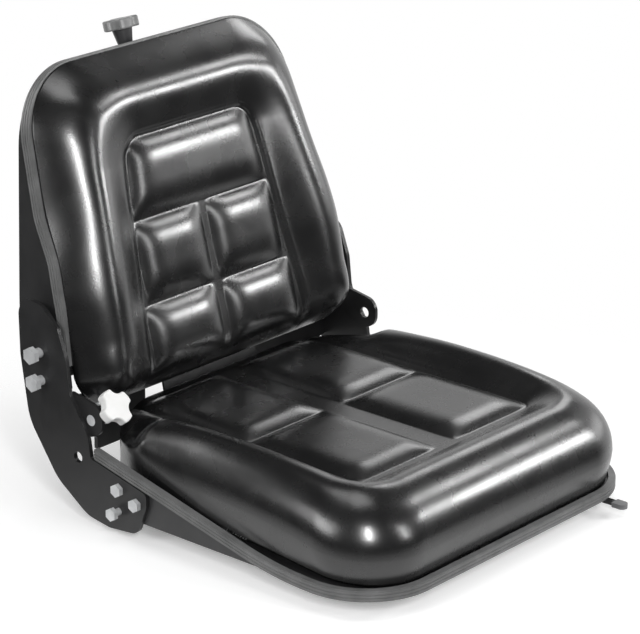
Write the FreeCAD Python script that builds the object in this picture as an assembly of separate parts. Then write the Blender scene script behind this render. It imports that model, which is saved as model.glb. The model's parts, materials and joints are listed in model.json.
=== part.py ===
import FreeCAD, Part
import math
import os

# Ride on mower seat in millimetres. The origin is the centre of the rail bolt holes, on the underside of
# the lower rails. +Y points to the back of the seat, +Z up, and the seat faces -Y.

V = FreeCAD.Vector
X_AXIS = V(1, 0, 0)
Z_AXIS = V(0, 0, 1)

RUN_FIT = 0.05
HOLE_PLAY = 0.25
PART_GAP = 0.4

# Slide rails
RAIL_X = 140.0
RAIL_WIDTH = 44.0
RAIL_HEIGHT = 18.0
RAIL_WALL = 2.0
RAIL_LIP = 7.0
LOWER_RAIL_LENGTH = 360.0
UPPER_RAIL_LENGTH = 290.0
UPPER_RAIL_WALL = 2.5
UPPER_RAIL_TOP_WIDTH = 22.0
UPPER_RAIL_FOOT_WIDTH = 37.0
UPPER_RAIL_FOOT_Z = 6.5
SEAT_Z = 24.0
GLIDE_LENGTH = 40.0
MOUNT_HOLE_R = 4.5
MOUNT_SPACING_Y = 330.0
RAIL_BOLT_Y = 120.0
RAIL_BOLT_R = 4.0
NOTCH_PITCH = 15.0
NOTCH_COUNT = 11
NOTCH_WIDTH = 8.0

# Release lever
LEVER_GAP = 5.0
LEVER_WIDTH = 10.0
LEVER_THICKNESS = 3.0
LEVER_Z = 10.0
LEVER_PIVOT_Y = -100.0
LEVER_TOOTH_Y = -130.0
LEVER_FRONT_Y = -240.0
LEVER_PIN_R = 3.0
LEVER_SPRING_R = 7.6
LEVER_SPRING_WIRE_R = 0.7
LEVER_SPRING_TURNS = 3
GRIP_LENGTH = 16.0
GRIP_COVER = 1.2

# Base pan: y is measured from the front of the trim and z from the underside of the pan
SEAT_Y = -240.0
RIM_HALF_WIDTH = 230.0
PAN_CORNER_R = 84.0
PAN_REAR = 394.0
PAN_SHEET = 2.0
RIM_FRONT_Z = 1.5
RIM_BEND_Y = 134.0
RIM_BEND_R = 400.0
RIM_SLOPE = 0.232

# Edge trim: a ribbed channel pushed over the sheet's edge
TRIM_HEIGHT = 12.0
TRIM_OUTSIDE = 4.0
TRIM_INSIDE = 2.0
TRIM_COVER = 3.0
TRIM_RIB = 0.7
TRIM_RIB_PITCH = 3.6
TRIM_RIB_WIDTH = 2.2

# Side plates
PLATE_THICKNESS = 5.0
PLATE_FRONT_MARGIN = 15.0
PLATE_FRONT_EDGE = [(402.0, 82.0), (428.0, 122.0), (432.0, 160.0), (444.0, 193.0), (466.0, 213.0)]
PLATE_REAR_EDGE = [(503.0, 219.0), (502.0, 150.0), (491.0, 78.0), (450.0, 20.0), (405.0, -11.0),
                   (372.0, -16.0), (330.0, -12.0)]
PLATE_EDGE_RADII = [30.0, 30.0, 30.0, 20.0, 16.0, 20.0, 60.0, 60.0, 60.0, 40.0, 20.0, 14.0]
UPPER_BOLT_R = 5.0
UPPER_HEAD_AF = 17.0
UPPER_HEAD_HEIGHT = 6.4
UPPER_STAND_OFF = 9.0
UPPER_COLLAR_R = 5.6
SPACER_R = 11.5
LOWER_BOLT_R = 4.0
LOWER_HEAD_AF = 13.0
LOWER_HEAD_HEIGHT = 5.3
LOWER_BOLTS = [(357.0, 32.0), (331.0, 22.0), (357.0, 7.0)]
LOWER_STAND_OFF = [0.0, 0.0, 8.0]
SPARE_HOLE = (417.0, 53.0)
SPARE_HOLE_R = 6.25
BACKING_THICKNESS = 4.0

# Backrest: v runs up the backrest and w points forward, from the lower end of its rim
BACK_Y = 432.0
BACK_Z = 150.0
RECLINE = 16.5
SHELL_GAP = 8.0
BACK_TAPER = 24.0
BACK_TAPER_V = 68.0
BACK_TOP = 316.0
BACK_BOTTOM = -25.0
BACK_CORNER_R = 85.0
JOG_LOW = 62.0
JOG_LOW_SLOPE = 0.193
JOG_START = 112.0
JOG_END = 160.0
JOG = 11.0
SHELL_SHEET = 2.0
SHELL_REAR = [(BACK_BOTTOM, -82.0), (0.0, -77.0), (195.0, -64.0), (BACK_TOP, -60.0)]
SHELL_BEVEL = [(50.0, -71.0), (250.0, -24.0)]
SHELL_BEVEL_WIDTH = 140.0
BOARD_THICKNESS = 6.0
POST_R = 8.0
POST_PLACES = [(150.0, 60.0), (140.0, 250.0)]

# Backrest tilt: places in the side view, measured as those of the base pan
PIVOT = (470.0, 128.0)
SLOT_BOLT = (472.0, 159.0)
TILT_FORWARD = 3.0
TILT_BACK = 6.0
EAR_HOLE = (401.0, 98.0)
EAR_HOLE_R = 6.25
EAR_LOBE_R = 17.0
EAR_THICKNESS = 4.0
EAR_PIN = (415.0, 106.0)
EAR_PIN_R = 2.2
EAR_PIN_LENGTH = 26.0
SCREW_RISE = 36.0
SCREW_R = 5.0
SWIVEL_R = 9.0
NUT_R = 9.0
NUT_PLAY = 1.5
ARM_THICKNESS = SHELL_GAP - EAR_THICKNESS - PART_GAP
ARM_WIDTH = 18.0

# Knobs
KNOB_R = 20.0
KNOB_LOBES = 4
TILT_KNOB_PHASE = 20.0
WEIGHT_KNOB_PHASE = 63.0
KNOB_SCALLOP_R = 10.0
KNOB_HEIGHT = 12.0
HUB_BASE_R = 8.5
HUB_TOP_R = 11.5
TILT_HUB_R = 8.5
TILT_HUB_HEIGHT = 14.0
WEIGHT_HUB_HEIGHT = 16.0
BUSH_FLANGE = 1.5
BUSH_WALL = 2.5
BUSH_DEPTH = 8.0

# Seat plate and suspension
HINGE_Y = 45.0
HINGE_Z = 7.5
HINGE_PIN_R = 3.0
HINGE_KNUCKLE_R = 5.0
HINGE_X = 110.0
HINGE_LENGTH = 30.0
SEAT_SLOPE = 0.09
SEAT_PLATE_THICKNESS = 3.0
SEAT_PLATE_LAP = 13.0
SEAT_PLATE_REAR = 414.0
SUSPENSION_DROP = 4.5
BUMP_STOP_X = 90.0
BUMP_STOP_R = 14.0
BUMP_STOP_INSET = 22.0
CROSS_MEMBER_Y = 466.0
CROSS_MEMBER_THICKNESS = 5.0
CROSS_MEMBER_HALF = 154.0
CROSS_MEMBER_LOW = 25.0
CROSS_MEMBER_WINDOW = 55.0
CROSS_MEMBER_WING = [40.0, 56.0, 95.0]
HANGER_HALF = 75.0
HANGER_BEND_Y = 432.0
HANGER_PATH = [(442.0, 90.0), (473.0, 164.0)]
SPINDLE_W = -44.0
SPINDLE_R = 3.5
YOKE_V = 200.0
YOKE_HALF = 72.0
YOKE_HEIGHT = 12.0
YOKE_DEPTH = 10.0
SPRING_X = 56.0
SPRING_R = 5.0
SPRING_WIRE_R = 1.2
SPRING_TURNS = 8

# Cushions
CUSHION_SIDE_GAP = 4.0
CUSHION_FRONT_GAP = 3.0
CUSHION_REAR = 427.0
CUSHION_FRONT_R = 78.0
CUSHION_REAR_R = 150.0
CUSHION_FRONT_Z = 82.0
CUSHION_CREST = [(62.0, 101.0), (150.0, 114.0), (290.0, 116.0), (400.0, 97.0)]
CUSHION_OVERRUN = 20.0
CUSHION_OVERRUN_Z = 84.0
CUSHION_EDGE_R = 34.0
CUSHION_FRONT_LOW = 4.5
CUSHION_LAP = 3.0
PANEL_Z = 85.0
BOLSTER_WIDTH = 71.0
PANEL_FRONT = 84.0
PANEL_SLOPE = 26.0
PAD_RISE = 8.0
PAD_LEAN = 6.0
PAD_CORNER_R = 14.0
PAD_MARGIN = 7.0
SEAT_GROOVE = 52.0
SEAT_PAD_ROWS = [(118.0, 246.0), (282.0, 392.0)]
BACK_CUSHION_GAP = 8.0
BACK_CUSHION_BOTTOM = -45.0
BACK_CUSHION_LOW_R = 62.0
BACK_CUSHION_LEAN = 40.0
BACK_CUSHION_RISE = 48.0
BACK_CUSHION_EDGE_R = 34.0
BACK_CREST_LOW = 40.0
BACK_CREST = [(60.0, 48.0), (200.0, 43.0)]
BACK_CREST_TOP = 30.0
BACK_BOLSTER_LOW = 97.0
BACK_BOLSTER_TOP = 101.0
BACK_PANEL_TOP = 215.0
BACK_PANEL_W = 18.0
BACK_PANEL_SLOPE = 34.0
BACK_TOP_PAD = (140.0, 205.0)
BACK_GROOVE = 32.0
BACK_PAD_ROWS = [(42.0, 118.0, 103.0), (-32.0, 28.0, 108.0)]

WALL_X = RIM_HALF_WIDTH - TRIM_OUTSIDE
PLATE_OUT_X = WALL_X + PLATE_THICKNESS
SHELL_X = WALL_X - SHELL_GAP
BACK_HALF_WIDTH = SHELL_X + TRIM_OUTSIDE
BACK_TOP_HALF_WIDTH = BACK_HALF_WIDTH - BACK_TAPER
TRIM_DEPTH = TRIM_OUTSIDE + PAN_SHEET + TRIM_INSIDE
CUSHION_HALF = RIM_HALF_WIDTH - TRIM_DEPTH - CUSHION_SIDE_GAP
CUSHION_FRONT = TRIM_DEPTH + CUSHION_FRONT_GAP
CUSHION_END = CUSHION_REAR + CUSHION_OVERRUN
CUSHION_TOP = [(CUSHION_FRONT, CUSHION_FRONT_Z)] + CUSHION_CREST + [(CUSHION_END, CUSHION_OVERRUN_Z)]
SEAT_PLATE_HALF = CUSHION_HALF - SEAT_PLATE_LAP
PANEL_HALF = CUSHION_HALF - BOLSTER_WIDTH
LEVER_X = RAIL_X + RAIL_WIDTH / 2 + LEVER_GAP + LEVER_WIDTH / 2
SCREW_X = EAR_THICKNESS + SWIVEL_R - WALL_X
RIM_REAR_Z = RIM_FRONT_Z + RIM_SLOPE * (PAN_REAR - RIM_BEND_Y)
BOARD_W = -JOG
SCREW_DIR = V(0, -math.cos(math.radians(SCREW_RISE)), math.sin(math.radians(SCREW_RISE)))
BACK_PLACE = FreeCAD.Placement(V(0, BACK_Y + SEAT_Y, BACK_Z + SEAT_Z),
                               FreeCAD.Rotation(X_AXIS, 90 - RECLINE))


def seat_point(x, y, z):
    """Point in the row frame from a place measured on the base pan."""
    return V(x, y + SEAT_Y, z + SEAT_Z)


def seat_side(points):
    """Side view points measured on the base pan, in the row frame."""
    return [(y + SEAT_Y, z + SEAT_Z) for y, z in points]


def flat(points, radii, plane):
    """Closed flat face through the points, with rounded corners."""
    if plane == "xy":
        corners = [V(a, b, 0) for a, b in points]
    else:
        corners = [V(0, a, b) for a, b in points]
    bends = []
    for i, corner in enumerate(corners):
        if radii[i] <= 0:
            bends.append((corner, None, corner))
            continue
        back = (corners[i - 1] - corner).normalize()
        ahead = (corners[(i + 1) % len(corners)] - corner).normalize()
        half = back.getAngle(ahead) / 2
        run = radii[i] / math.tan(half)
        inward = (back + ahead).normalize()
        middle = corner + inward * (radii[i] / math.sin(half) - radii[i])
        bends.append((corner + back * run, middle, corner + ahead * run))
    edges = []
    for i, (start, middle, end) in enumerate(bends):
        if middle is not None:
            edges.append(Part.Arc(start, middle, end).toShape())
        following = bends[(i + 1) % len(bends)][0]
        if (following - end).Length > 1e-6:
            edges.append(Part.makeLine(end, following))
    return Part.Face(Part.Wire(edges))


def slab(points, radii, low, high):
    """Plan outline extruded along Z from low to high."""
    face = flat(points, radii, "xy")
    face.translate(V(0, 0, low))
    return face.extrude(V(0, 0, high - low))


def side_bar(points, radii, x0, x1):
    """Side view outline extruded along X from x0 to x1."""
    face = flat(points, radii, "yz")
    face.translate(V(x0, 0, 0))
    return face.extrude(V(x1 - x0, 0, 0))


def box(x0, x1, y0, y1, z0, z1):
    return Part.makeBox(x1 - x0, y1 - y0, z1 - z0, V(x0, y0, z0))


def rod(start, direction, radius, length):
    return Part.makeCylinder(radius, length, start, direction)


def hexagon(start, direction, across_flats, height):
    """Hexagonal prism that starts at a point and runs along a direction."""
    reach = across_flats / math.sqrt(3)
    turns = [math.radians(60 * i) for i in range(7)]
    wire = Part.makePolygon([V(reach * math.cos(a), reach * math.sin(a), 0) for a in turns])
    prism = Part.Face(wire).extrude(V(0, 0, height))
    prism.Placement = FreeCAD.Placement(start, FreeCAD.Rotation(Z_AXIS, direction))
    return prism


def mirrored(shape):
    return shape.mirror(V(0, 0, 0), X_AXIS)


def both_sides(shapes):
    return [side for shape in shapes for side in (shape, mirrored(shape))]


def group(shapes):
    return Part.makeCompound([solid for shape in shapes for solid in shape.Solids])


def on_back(shape):
    """Carries a shape from the backrest's own axes to the row frame."""
    moved = shape.copy()
    moved.Placement = BACK_PLACE.multiply(moved.Placement)
    return moved


def all_round(points):
    return [0] * len(points)


# Slide rails

def lower_rail(notched):
    half = RAIL_WIDTH / 2
    inner = half - RAIL_WALL
    end = LOWER_RAIL_LENGTH / 2
    rail = box(-half, half, -end, end, 0, RAIL_HEIGHT)
    rail = rail.cut(box(-inner, inner, -end, end, RAIL_WALL, RAIL_HEIGHT - RAIL_WALL))
    slot = inner - RAIL_LIP
    rail = rail.cut(box(-slot, slot, -end, end, RAIL_WALL, RAIL_HEIGHT))
    for y in (-MOUNT_SPACING_Y / 2, MOUNT_SPACING_Y / 2):
        rail = rail.cut(rod(V(0, y, 0), Z_AXIS, MOUNT_HOLE_R, RAIL_WALL))
    if notched:
        for i in range(NOTCH_COUNT):
            y = LEVER_TOOTH_Y + NOTCH_PITCH * (i - NOTCH_COUNT // 2)
            top = LEVER_Z + LEVER_THICKNESS + 1
            rail = rail.cut(box(inner, half, y - NOTCH_WIDTH / 2, y + NOTCH_WIDTH / 2, LEVER_Z - 1, top))
    rail.translate(V(RAIL_X, 0, 0))
    return rail


def upper_rail_section(length):
    """Hat section of the upper rail on its own centre line."""
    top = UPPER_RAIL_TOP_WIDTH / 2
    foot = UPPER_RAIL_FOOT_WIDTH / 2
    end = length / 2
    foot_top = UPPER_RAIL_FOOT_Z + UPPER_RAIL_WALL
    hat = box(-top, top, -end, end, UPPER_RAIL_FOOT_Z, SEAT_Z)
    hat = hat.fuse(box(-foot, foot, -end, end, UPPER_RAIL_FOOT_Z, foot_top))
    inside = top - UPPER_RAIL_WALL
    hat = hat.cut(box(-inside, inside, -end, end, UPPER_RAIL_FOOT_Z, SEAT_Z - UPPER_RAIL_WALL))
    return hat.removeSplitter()


def upper_rail():
    rail = upper_rail_section(UPPER_RAIL_LENGTH)
    for y in (-RAIL_BOLT_Y, RAIL_BOLT_Y):
        start = V(0, y, SEAT_Z - UPPER_RAIL_WALL)
        rail = rail.cut(rod(start, Z_AXIS, RAIL_BOLT_R + RUN_FIT, UPPER_RAIL_WALL))
    rail.translate(V(RAIL_X, 0, 0))
    return rail


def slide_glides():
    half = RAIL_WIDTH / 2 - RAIL_WALL - PART_GAP
    bottom = RAIL_WALL + RUN_FIT
    top = RAIL_HEIGHT - RAIL_WALL - RUN_FIT
    glide = box(-half, half, -GLIDE_LENGTH / 2, GLIDE_LENGTH / 2, bottom, top)
    glide = glide.cut(upper_rail_section(GLIDE_LENGTH))
    place = (UPPER_RAIL_LENGTH - GLIDE_LENGTH) / 2
    glides = []
    for y in (-place, place):
        ready = glide.copy()
        ready.translate(V(RAIL_X, y, 0))
        glides.append(ready)
    return group(both_sides(glides))


def rail_bolts():
    bolts = []
    for y in (-RAIL_BOLT_Y, RAIL_BOLT_Y):
        seat = V(RAIL_X, y, SEAT_Z + PAN_SHEET)
        grip = PAN_SHEET + UPPER_RAIL_WALL + 1
        bolt = rod(seat - V(0, 0, grip), Z_AXIS, RAIL_BOLT_R, grip)
        bolts.append(bolt.fuse(Part.makeCone(7.0, 4.0, 3.3, seat, Z_AXIS)))
    return group(both_sides(bolts))


# Release lever

def release_lever():
    left = LEVER_X - LEVER_WIDTH / 2
    right = LEVER_X + LEVER_WIDTH / 2
    rear = LEVER_PIVOT_Y + LEVER_WIDTH
    tooth_x = RAIL_X + RAIL_WIDTH / 2 + PART_GAP
    front = LEVER_FRONT_Y - GRIP_LENGTH / 2
    outline = [(left, front), (right, front), (right, rear), (left, rear)]
    lever = slab(outline, [3, 3, 5, 5], LEVER_Z, LEVER_Z + LEVER_THICKNESS)
    tooth = slab([(left + 1, LEVER_TOOTH_Y - 5), (left + 1, LEVER_TOOTH_Y + 5),
                  (tooth_x, LEVER_TOOTH_Y + 3), (tooth_x, LEVER_TOOTH_Y - 3)],
                 [0, 0, 0, 0], LEVER_Z, LEVER_Z + LEVER_THICKNESS)
    hole = rod(V(LEVER_X, LEVER_PIVOT_Y, LEVER_Z), Z_AXIS, LEVER_PIN_R + RUN_FIT, LEVER_THICKNESS)
    return lever.fuse(tooth).cut(hole).removeSplitter()


def lever_grip():
    half = LEVER_WIDTH / 2 + GRIP_COVER
    front = LEVER_FRONT_Y - GRIP_LENGTH
    outline = [(LEVER_X - half, LEVER_FRONT_Y), (LEVER_X - half, front),
               (LEVER_X + half, front), (LEVER_X + half, LEVER_FRONT_Y)]
    low = LEVER_Z - GRIP_COVER
    grip = slab(outline, [1, half - 0.5, half - 0.5, 1], low, low + LEVER_THICKNESS + 2 * GRIP_COVER)
    return grip.cut(release_lever())


def lever_pivot_pin():
    head_r = LEVER_PIN_R + 3
    start = V(LEVER_X, LEVER_PIVOT_Y, LEVER_Z - 3)
    pin = rod(start, Z_AXIS, LEVER_PIN_R, SEAT_Z - start.z)
    pin = pin.fuse(rod(start, Z_AXIS, head_r, 3 - RUN_FIT))
    collar_z = LEVER_Z + LEVER_THICKNESS + RUN_FIT
    collar_r = LEVER_SPRING_R - LEVER_SPRING_WIRE_R - PART_GAP
    return pin.fuse(rod(V(LEVER_X, LEVER_PIVOT_Y, collar_z), Z_AXIS, collar_r, SEAT_Z - collar_z))


# Base pan and frame

def pan_outline(inset, rear):
    half = RIM_HALF_WIDTH - inset
    front = SEAT_Y + inset
    back = SEAT_Y + rear
    return [(-half, back), (-half, front), (half, front), (half, back)]


def pan_radii(inset):
    return [0, PAN_CORNER_R - inset, PAN_CORNER_R - inset, 0]


def rim_band(low, high):
    """Side view band along the pan's rim, from low to high about the trim's middle."""
    line = [(0.0, RIM_FRONT_Z), (RIM_BEND_Y, RIM_FRONT_Z), (PAN_REAR, RIM_REAR_Z)]
    under = [(y, z + low) for y, z in line]
    over = [(y, z + high) for y, z in reversed(line)]
    radii = [0, RIM_BEND_R, 0, 0, RIM_BEND_R, 0]
    return side_bar(seat_side(under + over), radii, -RIM_HALF_WIDTH, RIM_HALF_WIDTH)


def lower_bolt_holes(radius):
    start = WALL_X - 3 * PLATE_THICKNESS
    return [rod(seat_point(start, y, z), X_AXIS, radius, 6 * PLATE_THICKNESS) for y, z in LOWER_BOLTS]


def base_pan():
    front_top = RIM_FRONT_Z + TRIM_COVER
    rear_top = RIM_REAR_Z + TRIM_COVER
    section = [(0, 0), (PAN_REAR, 0), (PAN_REAR, rear_top), (RIM_BEND_Y, front_top), (0, front_top)]
    below_rim = side_bar(seat_side(section), [0, 0, 0, RIM_BEND_R, 0], -RIM_HALF_WIDTH, RIM_HALF_WIDTH)
    outer = TRIM_OUTSIDE
    inner = TRIM_OUTSIDE + PAN_SHEET
    pan = slab(pan_outline(outer, PAN_REAR), pan_radii(outer), SEAT_Z, SEAT_Z + rear_top)
    pan = pan.common(below_rim)
    pan = pan.cut(slab(pan_outline(inner, PAN_REAR + 1), pan_radii(inner), SEAT_Z + PAN_SHEET,
                       SEAT_Z + RIM_REAR_Z + TRIM_HEIGHT))
    for x in (-RAIL_X, RAIL_X):
        for y in (-RAIL_BOLT_Y, RAIL_BOLT_Y):
            pan = pan.cut(rod(V(x, y, SEAT_Z), Z_AXIS, RAIL_BOLT_R + HOLE_PLAY, PAN_SHEET))
    for hole in both_sides(lower_bolt_holes(LOWER_BOLT_R + HOLE_PLAY)):
        pan = pan.cut(hole)
    return pan


def base_edge_trim():
    low = SEAT_Z - TRIM_HEIGHT
    high = SEAT_Z + RIM_REAR_Z + TRIM_HEIGHT
    inner = TRIM_OUTSIDE + PAN_SHEET + TRIM_INSIDE
    hollow = slab(pan_outline(inner, PAN_REAR + 1), pan_radii(inner), low, high)
    body = slab(pan_outline(TRIM_RIB, PAN_REAR), pan_radii(TRIM_RIB), low, high)
    ribs = slab(pan_outline(0, PAN_REAR), pan_radii(0), low, high)
    trim = body.cut(hollow).common(rim_band(-TRIM_HEIGHT / 2, TRIM_HEIGHT / 2))
    for step in (-1, 0, 1):
        middle = step * TRIM_RIB_PITCH
        rib = rim_band(middle - TRIM_RIB_WIDTH / 2, middle + TRIM_RIB_WIDTH / 2)
        trim = trim.fuse(ribs.cut(hollow).common(rib))
    sheet_out = slab(pan_outline(TRIM_OUTSIDE, PAN_REAR), pan_radii(TRIM_OUTSIDE), low, high)
    sheet_in = TRIM_OUTSIDE + PAN_SHEET
    sheet = sheet_out.cut(slab(pan_outline(sheet_in, PAN_REAR + 1), pan_radii(sheet_in), low, high))
    trim = trim.cut(sheet.common(rim_band(-TRIM_HEIGHT, TRIM_COVER)))
    floor = slab(pan_outline(TRIM_OUTSIDE, PAN_REAR), pan_radii(TRIM_OUTSIDE), low, SEAT_Z + PAN_SHEET)
    return trim.cut(floor).removeSplitter()


def plate_outline():
    under_trim = TRIM_HEIGHT / 2 + PART_GAP
    trim_low = RIM_REAR_Z - under_trim
    front = LOWER_BOLTS[1][0] - PLATE_FRONT_MARGIN
    front_low = trim_low - RIM_SLOPE * (PAN_REAR - front)
    points = [(front, front_low - PLATE_FRONT_MARGIN), (front, front_low), (PAN_REAR + 4, trim_low + 1)]
    points += PLATE_FRONT_EDGE + PLATE_REAR_EDGE
    return seat_side(points), [6, 6, 3] + PLATE_EDGE_RADII


def slot_tool(x0, x1):
    """Arc slot for the slot bolt: its hole at steps over the tilt."""
    pivot = seat_point(0, *PIVOT)
    tool = None
    steps = 6
    for i in range(steps + 1):
        turn = -TILT_BACK + (TILT_BACK + TILT_FORWARD) * i / steps
        hole = rod(seat_point(x0, *SLOT_BOLT), X_AXIS, UPPER_BOLT_R + HOLE_PLAY, x1 - x0)
        hole.rotate(pivot, X_AXIS, turn)
        tool = hole if tool is None else tool.fuse(hole)
    return tool


def side_plate():
    plate = side_bar(*plate_outline(), WALL_X, PLATE_OUT_X)
    plate = plate.cut(rod(seat_point(WALL_X, *PIVOT), X_AXIS, UPPER_BOLT_R + RUN_FIT, PLATE_THICKNESS))
    plate = plate.cut(slot_tool(WALL_X, PLATE_OUT_X))
    plate = plate.cut(rod(seat_point(WALL_X, *SPARE_HOLE), X_AXIS, SPARE_HOLE_R, PLATE_THICKNESS))
    for hole in lower_bolt_holes(LOWER_BOLT_R + HOLE_PLAY):
        plate = plate.cut(hole)
    return plate


def backing_plate():
    inner = WALL_X - PAN_SHEET
    under_trim = TRIM_HEIGHT / 2 + PART_GAP
    y0 = LOWER_BOLTS[1][0] - 9
    y1 = LOWER_BOLTS[0][0] + 11
    top = [(y, RIM_REAR_Z - RIM_SLOPE * (PAN_REAR - y) - under_trim) for y in (y1, y0)]
    outline = seat_side([(y0, PAN_SHEET), (y1, PAN_SHEET)] + top)
    plate = side_bar(outline, [1, 1, 3, 3], inner - BACKING_THICKNESS, inner)
    for hole in lower_bolt_holes(LOWER_BOLT_R + RUN_FIT):
        plate = plate.cut(hole)
    return plate


def lower_bolts():
    bolts = []
    grip = PLATE_THICKNESS + PAN_SHEET + BACKING_THICKNESS
    for (y, z), stand_off in zip(LOWER_BOLTS, LOWER_STAND_OFF):
        seat = seat_point(PLATE_OUT_X, y, z)
        bolt = rod(seat - V(grip, 0, 0), X_AXIS, LOWER_BOLT_R, grip + stand_off)
        head = hexagon(seat + V(stand_off, 0, 0), X_AXIS, LOWER_HEAD_AF, LOWER_HEAD_HEIGHT)
        bolts.append(bolt.fuse(head))
    return group(both_sides(bolts))


def ear_bracket():
    y, z = EAR_HOLE
    reach = EAR_LOBE_R
    outline = [(y - reach, z + reach), (y - reach, z - reach), (y + 8, z - reach), (y + 30, z - 4),
               (y + 34, z + 26), (y + 22, z + 24)]
    radii = [reach - 1, reach - 1, 10, 8, 5, 10]
    ear = side_bar(seat_side(outline), radii, WALL_X - EAR_THICKNESS, WALL_X)
    return ear.cut(rod(seat_point(WALL_X - EAR_THICKNESS, y, z), X_AXIS, EAR_HOLE_R, EAR_THICKNESS))


def ear_pin():
    return rod(seat_point(EAR_THICKNESS - WALL_X, *EAR_PIN), X_AXIS, EAR_PIN_R, EAR_PIN_LENGTH)


def rear_cross_member():
    """Plate behind the seat, with a wing to each side plate and a window for the spring hanger."""
    inner, outer, top = CROSS_MEMBER_WING
    window = HANGER_HALF + SEAT_PLATE_THICKNESS
    right = [(CROSS_MEMBER_HALF, CROSS_MEMBER_LOW), (CROSS_MEMBER_HALF, inner), (WALL_X, outer), (WALL_X, top),
             (window, top), (window, CROSS_MEMBER_WINDOW)]
    outline = right + [(-x, z) for x, z in reversed(right)]
    face = flat(outline, [0, 4, 0, 0, 8, 6, 6, 8, 0, 0, 4, 0], "xy")
    face.rotate(V(0, 0, 0), X_AXIS, 90)
    face.translate(seat_point(0, CROSS_MEMBER_Y, 0))
    return face.extrude(V(0, CROSS_MEMBER_THICKNESS, 0))


# Seat plate and suspension

def slope_line(y, rise):
    """Height over the pan of a line parallel to the seat plate, rise above the plate's middle."""
    return HINGE_Z + SEAT_SLOPE * (y - HINGE_Y) + rise


def sloped_section(y0, y1, low, high):
    """Side view outline between two lines parallel to the seat plate."""
    return seat_side([(y0, slope_line(y0, low)), (y1, slope_line(y1, low)), (y1, slope_line(y1, high)),
                      (y0, slope_line(y0, high))])


def hinge_spans():
    middle = HINGE_X
    return middle - HINGE_LENGTH / 2, middle + HINGE_LENGTH / 2


def hinge_brackets():
    inner, outer = hinge_spans()
    ears = []
    r = HINGE_KNUCKLE_R
    for x in (inner - PART_GAP - 4, outer + PART_GAP):
        points = [(HINGE_Y - r - 2, PAN_SHEET), (HINGE_Y + r + 2, PAN_SHEET),
                  (HINGE_Y + r, HINGE_Z + r), (HINGE_Y - r, HINGE_Z + r)]
        ear = side_bar(seat_side(points), [0, 0, r - 1, r - 1], x, x + 4)
        ears.append(ear.cut(rod(seat_point(x, HINGE_Y, HINGE_Z), X_AXIS, HINGE_PIN_R, 4)))
    return group(both_sides(ears))


def hinge_pins():
    inner, outer = hinge_spans()
    start = seat_point(inner - PART_GAP - 4, HINGE_Y, HINGE_Z)
    pin = rod(start, X_AXIS, HINGE_PIN_R, outer - inner + 2 * PART_GAP + 8)
    return group(both_sides([pin]))


def bump_stops():
    y = PAN_REAR - BUMP_STOP_INSET
    low = slope_line(y, -SEAT_PLATE_THICKNESS / 2)
    drop = (y - HINGE_Y) * math.sin(math.radians(SUSPENSION_DROP))
    height = low - drop - PAN_SHEET - 1.5
    foot = seat_point(BUMP_STOP_X, y, PAN_SHEET)
    stop = Part.makeCone(BUMP_STOP_R, 0.8 * BUMP_STOP_R, height, foot, Z_AXIS)
    return group(both_sides([stop]))


def seat_plate():
    half = SEAT_PLATE_THICKNESS / 2
    section = sloped_section(HINGE_Y, SEAT_PLATE_REAR, -half, half)
    plate = side_bar(section, all_round(section), -SEAT_PLATE_HALF, SEAT_PLATE_HALF)
    outline = [(-SEAT_PLATE_HALF, HINGE_Y), (SEAT_PLATE_HALF, HINGE_Y),
               (SEAT_PLATE_HALF, SEAT_PLATE_REAR), (-SEAT_PLATE_HALF, SEAT_PLATE_REAR)]
    outline = [(x, y + SEAT_Y) for x, y in outline]
    inset = CUSHION_HALF - SEAT_PLATE_HALF
    radii = [CUSHION_FRONT_R - inset] * 2 + [CUSHION_REAR_R - inset] * 2
    plate = plate.common(slab(outline, radii, 0, SEAT_Z + BACK_Z))
    inner, outer = hinge_spans()
    clear = HINGE_KNUCKLE_R + 3
    for x0, x1 in ((inner - 6, outer + 6), (-outer - 6, -inner + 6)):
        plate = plate.cut(Part.makeBox(x1 - x0, 2 * clear, 4 * clear, seat_point(x0, HINGE_Y - clear, 0)))
    length = outer - inner
    section = sloped_section(HINGE_Y, HINGE_Y + clear, -half, half)
    leaf = side_bar(section, all_round(section), inner, outer)
    knuckle = rod(seat_point(inner, HINGE_Y, HINGE_Z), X_AXIS, HINGE_KNUCKLE_R, length).fuse(leaf)
    for side in both_sides([knuckle]):
        plate = plate.fuse(side)
    bore = rod(seat_point(inner, HINGE_Y, HINGE_Z), X_AXIS, HINGE_PIN_R + RUN_FIT, length)
    for side in both_sides([bore]):
        plate = plate.cut(side)
    return plate.removeSplitter()


def strip(points, thickness, x0, x1):
    """Bent sheet strip along a side view path."""
    path = [V(0, y, z) for y, z in points]
    sides = []
    for i, point in enumerate(path):
        before = (point - path[i - 1]).normalize() if i > 0 else None
        after = (path[i + 1] - point).normalize() if i + 1 < len(path) else None
        before = before or after
        after = after or before
        along = (before + after).normalize()
        normal = V(0, -along.z, along.y)
        reach = thickness / 2 / max(0.3, along.dot(after))
        sides.append((point - normal * reach, point + normal * reach))
    outline = [(p.y, p.z) for p, q in sides] + [(q.y, q.z) for p, q in reversed(sides)]
    return side_bar(outline, all_round(outline), x0, x1)


def spring_hanger():
    start = (SEAT_PLATE_REAR, slope_line(SEAT_PLATE_REAR, 0))
    bend = (HANGER_BEND_Y, slope_line(HANGER_BEND_Y, 0))
    path = seat_side([start, bend] + HANGER_PATH)
    plate = strip(path, SEAT_PLATE_THICKNESS, -HANGER_HALF, HANGER_HALF)
    corner = seat_point(-HANGER_HALF, SEAT_PLATE_REAR - 10, start[1] - 10)
    return plate.cut(Part.makeBox(2 * HANGER_HALF, 10, 20, corner))


# Cushions

def cushion_outline(inset):
    half = CUSHION_HALF - inset
    front = SEAT_Y + CUSHION_FRONT + inset
    rear = SEAT_Y + CUSHION_END - inset
    return [(-half, rear), (-half, front), (half, front), (half, rear)]


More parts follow.
